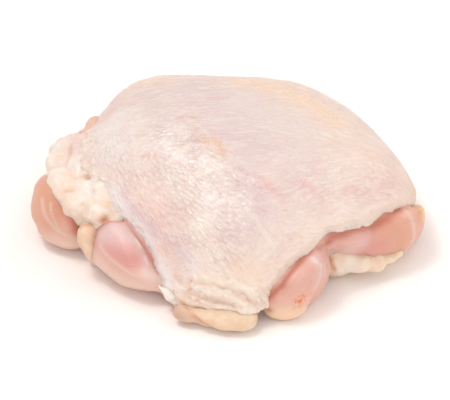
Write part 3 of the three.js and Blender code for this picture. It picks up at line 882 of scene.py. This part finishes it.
NETS = {  # angle in degrees, stretch, pitch in mm, sway, depth of the grooves
    "net_top": (-3, 3.0, 1.3, 0.9, 0.3),
    "net_cells": (-25, 1.5, 1.9, 0.9, 1.0),
    "net_steep": (-66, 3.0, 1.2, 0.7, 0.6),
    "net_slant": (-46, 2.2, 1.5, 0.8, 0.85),
    "net_cobble": (28, 1.5, 2.0, 0.9, 0.45),
    "net_folds": (-34, 2.8, 1.7, 0.8, 0.9),
}
SKIN_PLAIN = (244, 223, 211)
SKIN_TINTS = {  # the colour that each zone of the skin shades to
    # far: painted shade where the skin turns away at the back and right
    "far": (238, 204, 176),
    # pale: painted highlight along the wet band, and paler skin at the left
    "pale": (250, 236, 228),
    "lilac": (232, 206, 203),
    "even": (233, 214, 206),
    "peach": (253, 218, 188),
    "rosy": (236, 192, 186),
    "creamy": (254, 232, 209),
    "fatty": (251, 230, 215),
    "calm": (246, 222, 206),
    "hem": (248, 237, 235),
    # painted shade just inside the left hem
    "inner_hem_shade": (224, 196, 198),
}
SKIN_MARKS = {  # the colour of each mark, and the share that it has
    "blotch": ((238, 212, 203), 0.8),
    # groove: painted shade in the wrinkles' grooves, the darker the deeper they are
    "groove": ((218, 176, 164), 0.34),
    # ridge: painted highlight along the raised ridges
    "ridge": ((255, 241, 224), 0.7),
    # furrow: painted shade along the carved furrows
    "furrow": ((236, 188, 160), 0.45),
    # streak: the raised streaks painted paler, partly their own tone and partly painted light on the
    # relief
    "streak": ((253, 242, 234), 1.0),
    "fleck": ((222, 178, 170), 1.0),
    "stain": ((226, 160, 122), 1.0),
    "edge": ((250, 238, 234), 0.8),
}
# Patches: scale and detail of their noise, where they begin and are full, and their values there
DEEP_PATCHES = (0.16, 2.0, 0.35, 0.62, 0.35, 1.3)
FLECKS = (0.8, 2.0, 0.6, 0.72)
WET_PATCHES = (0.5, 3.0, 0.45, 0.6)
SKIN_GRAIN = (1.4, 3.0)
GRAIN_HEIGHT = 0.25
CALMED = 0.75                       # share of the grooves that calm and even skin is without
STREAKED, EVENED = 0.5, 0.35        # strength of the streaks, and how much less on even skin
STREAK_MEAN = 0.4                   # streaks below this leave the colour as it is
SKIN_BLOTCH = {"Size": 8.0, "Contrast": 0.16}
SPECKLE = {"Size": 1.4, "Contrast": 0.2}
SPECKLED = (0, 0.7, 0.25, 1.0)      # speckle from which a stain begins and is full, and its shares
FLECKED, FATTY_FLECKED = 0.3, 0.35  # strength of the flecks, and how much more on fatty skin
ROUGH, WETTED = 0.44, 0.16          # roughness, and how much less where the skin is wet
GLOSS, WET_GLOSS = 0.12, 0.1        # how much less in the patches, and again where it is wet
WRINKLE_DEPTH = 0.3                 # millimetres
SKIN_FLESH = {  # light reaches a little way into the skin, and red light the deepest
    "Subsurface Weight": 0.2,
    "Subsurface Radius": (1.0, 0.5, 0.35),
    "Subsurface Scale": 1.6 * MM,
}


def skin_grooves(tree, net):
    """The depth of the grooves and the strength of the streaks, of all nets together."""
    flat = attribute(tree, "flat", "Vector")
    grooves, streaks = 0.0, 0.0
    for name, (angle, stretch, pitch, sway, depth) in NETS.items():
        laid = placed(tree, net, Vector=flat, Angle=angle, Stretch=stretch, Pitch=pitch, Sway=sway)
        share = attribute(tree, name)
        part = maths(tree, "MULTIPLY", share, depth)
        hollow = maths(tree, "SUBTRACT", 1.0, laid["Height"])
        grooves = maths(tree, "MULTIPLY_ADD", hollow, part, grooves)
        streaks = maths(tree, "MULTIPLY_ADD", laid["Streak"], share, streaks)
    return grooves, streaks


def rim_mask(tree):
    """The skin's rim, except where it is calm or creamy and isn't the left hem."""
    plain = maths(tree, "SUBTRACT", attribute(tree, "hem"), attribute(tree, "calm"))
    plain = maths(tree, "SUBTRACT", plain, attribute(tree, "creamy"))
    return maths(tree, "ADD", attribute(tree, "edge"), maths(tree, "MINIMUM", plain, 0.0))


def skin_colour(tree, here, mottle, grooves, streaks):
    blotch = placed(tree, mottle, Vector=here, **SKIN_BLOTCH)["Mask"]
    colour = marked(tree, rgb(*SKIN_PLAIN), SKIN_MARKS["blotch"], blotch)
    for name, tint in SKIN_TINTS.items():
        colour = tinted(tree, colour, rgb(*tint), attribute(tree, name))
    speckle = placed(tree, mottle, Vector=here, **SPECKLE)["Mask"]
    broken = ranged(tree, speckle, *SPECKLED)
    flecks = maths(tree, "MULTIPLY_ADD", attribute(tree, "fatty"), FATTY_FLECKED, FLECKED)
    masks = {
        # painted shade in the grooves of the wrinkles
        "groove": grooves,
        "ridge": attribute(tree, "ridge"),
        "furrow": attribute(tree, "furrow"),
        "streak": streaks,
        "fleck": maths(tree, "MULTIPLY", patches(tree, here, *FLECKS), flecks),
        "stain": maths(tree, "MULTIPLY", attribute(tree, "stained"), broken),
        "edge": rim_mask(tree),
    }
    for name, mask in masks.items():
        colour = marked(tree, colour, SKIN_MARKS[name], mask)
    return colour


def skin_roughness(tree, here):
    wet = attribute(tree, "wet")
    rough = maths(tree, "MULTIPLY_ADD", wet, -WETTED, ROUGH)
    gloss = maths(tree, "MULTIPLY_ADD", wet, -WET_GLOSS, -GLOSS)
    return maths(tree, "MULTIPLY_ADD", patches(tree, here, *WET_PATCHES), gloss, rough)


def skin_material(net, mottle):
    material, tree, shader = new_material("wet chicken skin")
    here = position(tree)
    even = attribute(tree, "even")
    smooth = maths(tree, "MAXIMUM", attribute(tree, "calm"), even)
    deep = maths(tree, "MULTIPLY", patches(tree, here, *DEEP_PATCHES),
                 maths(tree, "MULTIPLY_ADD", smooth, -CALMED, 1.0))
    grooves, streaks = skin_grooves(tree, net)
    grooves = maths(tree, "MULTIPLY", grooves, deep)
    drawn = maths(tree, "MULTIPLY_ADD", even, -EVENED, STREAKED)
    grain = maths(tree, "MULTIPLY", noise_field(tree, here, *SKIN_GRAIN), GRAIN_HEIGHT)
    height = maths(tree, "SUBTRACT", grain, grooves)
    height = maths(tree, "MULTIPLY_ADD", streaks, drawn, height)
    # the raised streaks are painted paler: partly their own tone, partly painted light
    pale = maths(tree, "MULTIPLY", maths(tree, "SUBTRACT", streaks, STREAK_MEAN), drawn)
    put(tree, shader.inputs["Base Color"], skin_colour(tree, here, mottle, grooves, pale))
    put(tree, shader.inputs["Roughness"], skin_roughness(tree, here))
    put(tree, shader.inputs["Normal"], bumped(tree, height, WRINKLE_DEPTH))
    set_values(tree, shader, SKIN_FLESH)
    return material


# ---- Meat and fat materials -----------------------------------------------------------------

MEAT_PLAIN, MEAT_BLOTCHED = (235, 180, 163), (240, 192, 177)
MEAT_BLOTCH = {"Size": 8.0, "Contrast": 0.18}
FIBRE_STRETCH = (0.25, 0.5, 1.1)    # the fibres run along X, and lie flat
FIBRES = (1.2, 4.0)                 # scale and detail of their noise
FIBRE_MARK = ((226, 158, 146), 0.5)
FIBRE_RANGE = (0.5, 0.75)
MEAT_MARKS = {  # the colour that each zone of the meat shades to, and the share that it has
    # red: partly the meat's own colour, partly painted shade
    "red": ((230, 158, 148), 1.0),
    "pale": ((246, 216, 200), 1.0),
    # lilac: membrane colour, partly a painted sheen
    "lilac": ((238, 203, 200), 1.0),
    "tan": ((226, 160, 132), 1.0),
    "peach": ((234, 172, 142), 1.0),
    "apricot": ((254, 218, 186), 1.0),
    "film": ((246, 222, 212), 0.5),
    # deep: painted shade in the crevices under hems and fat
    "deep": ((194, 104, 78), 0.9),
}
MEAT_STAIN = ((238, 142, 88), 1.0)
STAIN_BREAKS = {"Size": 0.9, "Contrast": 0.12}
FIBRE_DEPTH = 0.25                  # millimetres
MEAT_FLESH = {
    "Roughness": 0.42,
    "Subsurface Weight": 0.35,
    "Subsurface Radius": (1.0, 0.4, 0.28),
    "Subsurface Scale": 2.5 * MM,
}


def meat_material(mottle):
    material, tree, shader = new_material("raw meat")
    here = position(tree)
    fibres = noise_field(tree, vector_maths(tree, "MULTIPLY", here, FIBRE_STRETCH), *FIBRES)
    blotch = placed(tree, mottle, Vector=here, **MEAT_BLOTCH)["Mask"]
    colour = tinted(tree, rgb(*MEAT_PLAIN), rgb(*MEAT_BLOTCHED), blotch)
    colour = marked(tree, colour, FIBRE_MARK, ranged(tree, fibres, *FIBRE_RANGE))
    for name, mark in MEAT_MARKS.items():
        colour = marked(tree, colour, mark, attribute(tree, name))
    broken = placed(tree, mottle, Vector=here, **STAIN_BREAKS)["Mask"]
    broken = maths(tree, "MULTIPLY", attribute(tree, "stained"), broken)
    colour = marked(tree, colour, MEAT_STAIN, broken)
    put(tree, shader.inputs["Base Color"], colour)
    put(tree, shader.inputs["Normal"], bumped(tree, fibres, FIBRE_DEPTH))
    set_values(tree, shader, MEAT_FLESH)
    return material


PINK = (246, 214, 204)
FATS = {  # plain colour, the colour of its blotches, and its rosy colour
    "cream fat": ((252, 233, 208), (249, 221, 190), PINK),
    "peach fat": ((254, 239, 226), (251, 226, 208), PINK),
    "tan fat": ((251, 225, 200), (245, 210, 182), (238, 200, 184)),
    "smooth fat": ((247, 218, 190), (242, 207, 174), (220, 178, 156)),
    "yellow fat": ((247, 214, 168), (242, 194, 144), PINK),
}
FAT_BLOTCH = {"Size": 3.0, "Contrast": 0.15}
FAT_HOLLOW = ((247, 208, 176), 0.35)
# the white patches: pale fat, partly painted highlight and painted light
FAT_PALE = ((255, 245, 236), 1.0)
FAT_STAIN = ((232, 164, 120), 0.75)
FAT_NOISE = (2.0, 3.0)              # scale and detail of its grain
GRAIN_DEPTH = 0.2                   # millimetres
FAT_FLESH = {
    "Roughness": 0.4,
    "Subsurface Weight": 0.35,
    "Subsurface Radius": (1.0, 0.6, 0.4),
    "Subsurface Scale": 2.5 * MM,
}


def fat_material(name, mottle):
    plain, blotched, rosy = FATS[name]
    material, tree, shader = new_material(name)
    here = position(tree)
    blotch = placed(tree, mottle, Vector=here, **FAT_BLOTCH)["Mask"]
    colour = tinted(tree, rgb(*plain), rgb(*blotched), blotch)
    colour = marked(tree, colour, FAT_HOLLOW, attribute(tree, "hollow"))
    colour = marked(tree, colour, (rosy, 1.0), attribute(tree, "rosy"))
    # white: partly painted highlight and painted light
    colour = marked(tree, colour, FAT_PALE, attribute(tree, "white"))
    colour = marked(tree, colour, FAT_STAIN, attribute(tree, "stained"))
    put(tree, shader.inputs["Base Color"], colour)
    grain = noise_field(tree, here, *FAT_NOISE)
    put(tree, shader.inputs["Normal"], bumped(tree, grain, GRAIN_DEPTH))
    set_values(tree, shader, FAT_FLESH)
    return material


# ---- Stage ----------------------------------------------------------------------------------

FLOOR_REACH = 3.0                   # metres from the middle of the floor to its edges
FLOOR_FINISH = {  # white paper that glows faintly and warmly, as on a light table
    "Base Color": (0.93, 0.88, 0.85, 1),
    "Roughness": 0.9,
    "Specular IOR Level": 0.1,
    "Emission Color": (1, 0.85, 0.75, 1),
    "Emission Strength": 0.03,
}
LIGHT_DISTANCE = 0.8                # metres
LIGHTS = {  # direction from the leg, diameter in metres, power in watts
    "key": ((-0.36, 0.06, 0.93), 0.4, 1.74),
    "back softbox": ((0.5, 0.5, 0.7), 0.5, 0.8),
    "front softbox": ((0.15, -0.9, 0.3), 0.5, 1.05),
    "right softbox": ((0.85, -0.25, 0.5), 0.5, 0.62),
    "spark": ((-0.36, 0.02, 0.9), 0.05, 0.56),
}
SKY_STRENGTH = 0.76
ELEVATION = 35                      # degrees from which the camera looks down
TARGET = (-0.46, -1.2, 13.5)        # millimetres, as the other places
CAMERA_DISTANCE = 0.72              # metres
LENS, SENSOR = 176, 36
PHOTO_WIDTH = 450                   # pixels
SHIFT = (-2, -6)                    # pixels by which the view is moved in the picture


def floor_piece():
    bm = bmesh.new()
    bmesh.ops.create_grid(bm, x_segments=1, y_segments=1, size=FLOOR_REACH)
    mesh = bpy.data.meshes.new("floor")
    bm.to_mesh(mesh)
    bm.free()
    material, tree, shader = new_material("white light table")
    set_values(tree, shader, FLOOR_FINISH)
    mesh.materials.append(material)
    new_object("floor", mesh)


def light(name, direction, size, power):
    """A round lamp that shines on the leg from a direction."""
    lamp = bpy.data.lights.new(name, "AREA")
    lamp.shape = "DISK"
    lamp.size = size
    lamp.energy = power
    obj = new_object(name, lamp)
    aim = Vector(direction).normalized()
    obj.location = aim * LIGHT_DISTANCE
    obj.rotation_euler = aim.to_track_quat("Z", "Y").to_euler()


def studio():
    world = bpy.data.worlds.new("studio")
    bpy.context.scene.world = world
    world.use_nodes = True
    sky = world.node_tree.nodes["Background"]
    sky.inputs["Color"].default_value = (1, 1, 1, 1)
    sky.inputs["Strength"].default_value = SKY_STRENGTH
    for name, (direction, size, power) in LIGHTS.items():
        light(name, direction, size, power)
    bpy.context.scene.view_settings.view_transform = "Standard"


def camera():
    """The photograph's view: straight from the front, looking down on the leg."""
    data = bpy.data.cameras.new("camera")
    data.sensor_width = SENSOR
    data.lens = LENS
    data.shift_x, data.shift_y = (pixels / PHOTO_WIDTH for pixels in SHIFT)
    obj = new_object("camera", data)
    away = Vector((0, -math.cos(math.radians(ELEVATION)), math.sin(math.radians(ELEVATION))))
    obj.location = Vector(TARGET) * MM + away * CAMERA_DISTANCE
    obj.rotation_euler = away.to_track_quat("Z", "Y").to_euler()
    bpy.context.scene.camera = obj


# ---- The whole ------------------------------------------------------------------------------

FAT_PIECES = {  # name, lumpiness, how far it swells over its solid in mm, and its fat
    "fat_left": ("fat_ruffle_left", 0.8, 0.45, "peach fat"),
    "fat_seam": ("fat_lobe_left", 0.3, 0.5, "tan fat"),
    "fat_front": ("fat_lip_front", 0.0, -0.2, "smooth fat"),
    "fat_right": ("fat_strip_right", 0.7, 0.3, "cream fat"),
    "fat_tab": ("fat_tab_right", 0.3, 0.1, "yellow fat"),
}

camera()
studio()
floor_piece()
mottle = mottling()
skin_piece(skin_material(wrinkle_net(), mottle))
meat_piece(meat_material(mottle))
for node, (name, lumpy, fullness, fat) in FAT_PIECES.items():
    fat_piece(node, name, lumpy, fullness, fat_material(fat, mottle))
